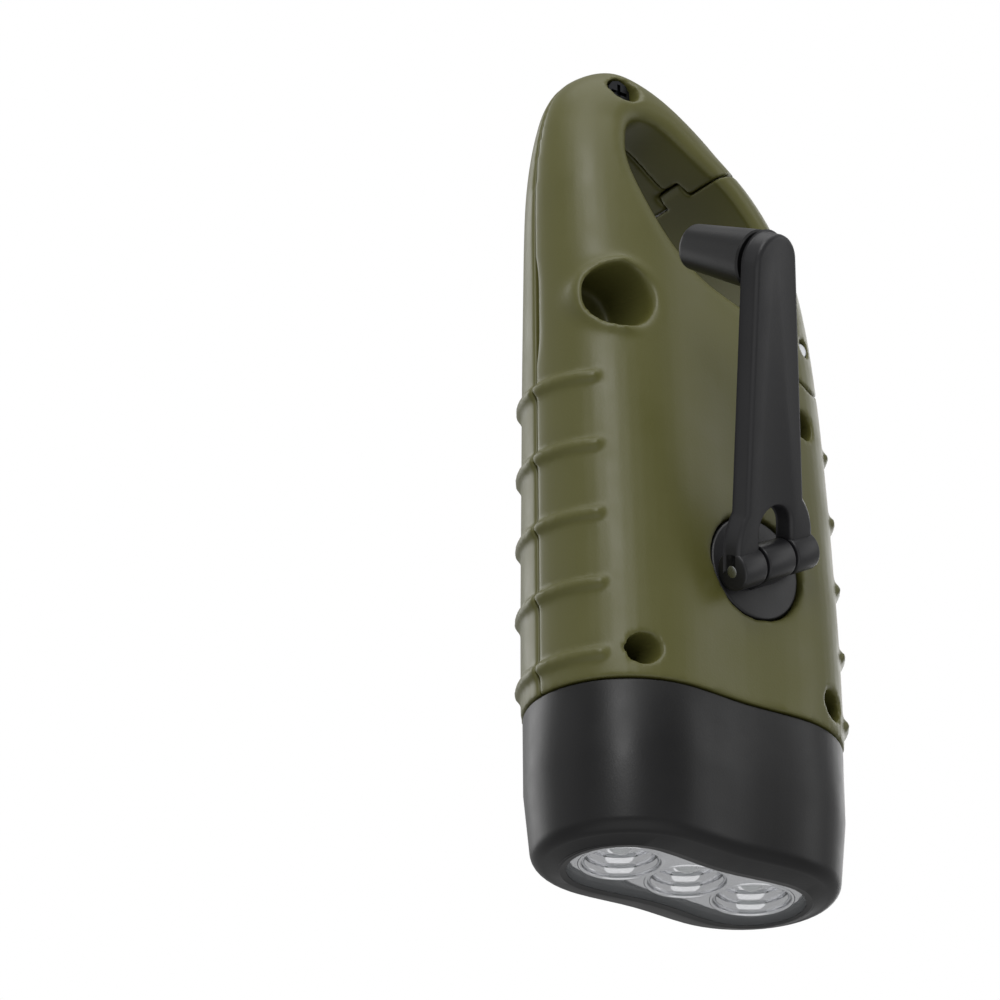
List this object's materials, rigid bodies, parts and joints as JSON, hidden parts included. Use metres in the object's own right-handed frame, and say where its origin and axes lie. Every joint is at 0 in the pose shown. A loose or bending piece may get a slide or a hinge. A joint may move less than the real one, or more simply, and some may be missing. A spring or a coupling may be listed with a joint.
{
  "type": "hand crank flashlight",
  "caption": "Solar and hand crank flashlight with a lamp head at its base, a folding crank with a knob on its back and a spring gate carabiner on top.",
  "frame": {"origin": "centre of the overall box at the lamp rim's plane, with the crank raised as it rests", "axes": "+Z from the lamp end up to the carabiner, the solar panel faces -Y, the crank faces +Y, the gate is on the -X side"},
  "size_m": [0.054, 0.0598, 0.129],
  "materials": {
    "olive_abs": "satin",
    "black_abs": "satin",
    "gloss_black": "gloss",
    "cell_brown": "semi-gloss",
    "clear_acrylic": "clear",
    "chrome_plate": "mirror",
    "lamp_white": "clear epoxy",
    "steel": "bright",
    "zinc_steel": "zinc plated",
    "white_nylon": "moulded",
    "magnet_grey": "sintered",
    "copper_wire": "enamelled",
    "board_green": "satin",
    "sleeve_blue": "shrink sleeve",
    "rubber_black": "matt"
  },
  "bodies": {
    "casing": {"front_shell": "olive_abs", "rear_shell": "olive_abs", "gate_pin": "steel", "gate_spring": "steel", "solar_bezel": "gloss_black", "solar_cell": "cell_brown", "push_switch": "gloss_black", "battery_pack": "sleeve_blue", "case_screw_1": "zinc_steel", "case_screw_2": "zinc_steel", "case_screw_3": "zinc_steel", "case_screw_4": "zinc_steel", "head_shroud": "black_abs", "lens": "clear_acrylic", "lens_gasket": "rubber_black", "reflector": "chrome_plate", "led_board": "board_green", "led_left": "lamp_white", "led_middle": "lamp_white", "led_right": "lamp_white", "first_axle": "steel", "second_axle": "steel", "gear_plate": "black_abs", "stator": "zinc_steel", "coil": "copper_wire", "plate_screw_1": "zinc_steel", "plate_screw_2": "zinc_steel", "plate_screw_3": "zinc_steel", "plate_screw_4": "zinc_steel", "circuit_board": "board_green", "storage_capacitor": "sleeve_blue", "board_screw_1": "zinc_steel", "board_screw_2": "zinc_steel"},
    "crank": {"crank_hub": "black_abs", "drive_gear": "white_nylon", "drive_gear_screw": "zinc_steel"},
    "arm": {"crank_arm": "black_abs", "crank_hinge_pin": "steel", "knob_screw": "zinc_steel"},
    "knob": {"crank_knob": "black_abs"},
    "first_stage": {"first_gear": "white_nylon"},
    "second_stage": {"second_gear": "white_nylon"},
    "rotor": {"rotor_pinion": "white_nylon", "rotor_magnet": "magnet_grey"},
    "gate": {"carabiner_gate": "olive_abs"},
    "button": {"power_button": "black_abs", "switch_plunger": "white_nylon"}
  },
  "joints": [
    {"name": "crank_spin", "type": "hinge", "parent": "casing", "child": "crank", "pos_m": [-0.0026, 0, 0.046], "axis": [0, 1, 0], "continuous": true},
    {"name": "crank_fold", "type": "hinge", "parent": "crank", "child": "arm", "pos_m": [-0.0026, 0.00316, 0.046], "axis": [-0.8829, 0, 0.4695], "range_deg": [-32, 148]},
    {"name": "knob_spin", "type": "hinge", "parent": "arm", "child": "knob", "pos_m": [0.01512, 0.02674, 0.07932], "axis": [-0.2488, 0.848, -0.4679], "continuous": true},
    {"name": "first_spin", "type": "hinge", "parent": "casing", "child": "first_stage", "pos_m": [-0.00798, -0.0085, 0.06], "axis": [0, 1, 0], "continuous": true},
    {"name": "second_spin", "type": "hinge", "parent": "casing", "child": "second_stage", "pos_m": [0.00435, -0.0115, 0.06473], "axis": [0, 1, 0], "continuous": true},
    {"name": "rotor_spin", "type": "hinge", "parent": "casing", "child": "rotor", "pos_m": [0.00581, -0.0165, 0.05282], "axis": [0, 1, 0], "continuous": true},
    {"name": "gate_swing", "type": "hinge", "parent": "casing", "child": "gate", "pos_m": [-0.0165, -0.01434, 0.088], "axis": [0, 1, 0], "range_deg": [0, 28], "stiffness_Nm_per_rad": 0.02, "springref_deg": -20.05},
    {"name": "button_press", "type": "slide", "parent": "casing", "child": "button", "axis": [1, 0, 0], "range_m": [0, 0.0008], "stiffness_N_per_m": 1200, "springref_m": -0.0005}
  ],
  "couplings": [
    {"joint": "first_spin", "follows": "crank_spin", "ratio": -4},
    {"joint": "second_spin", "follows": "crank_spin", "ratio": 13.6},
    {"joint": "rotor_spin", "follows": "crank_spin", "ratio": -40.8}
  ]
}
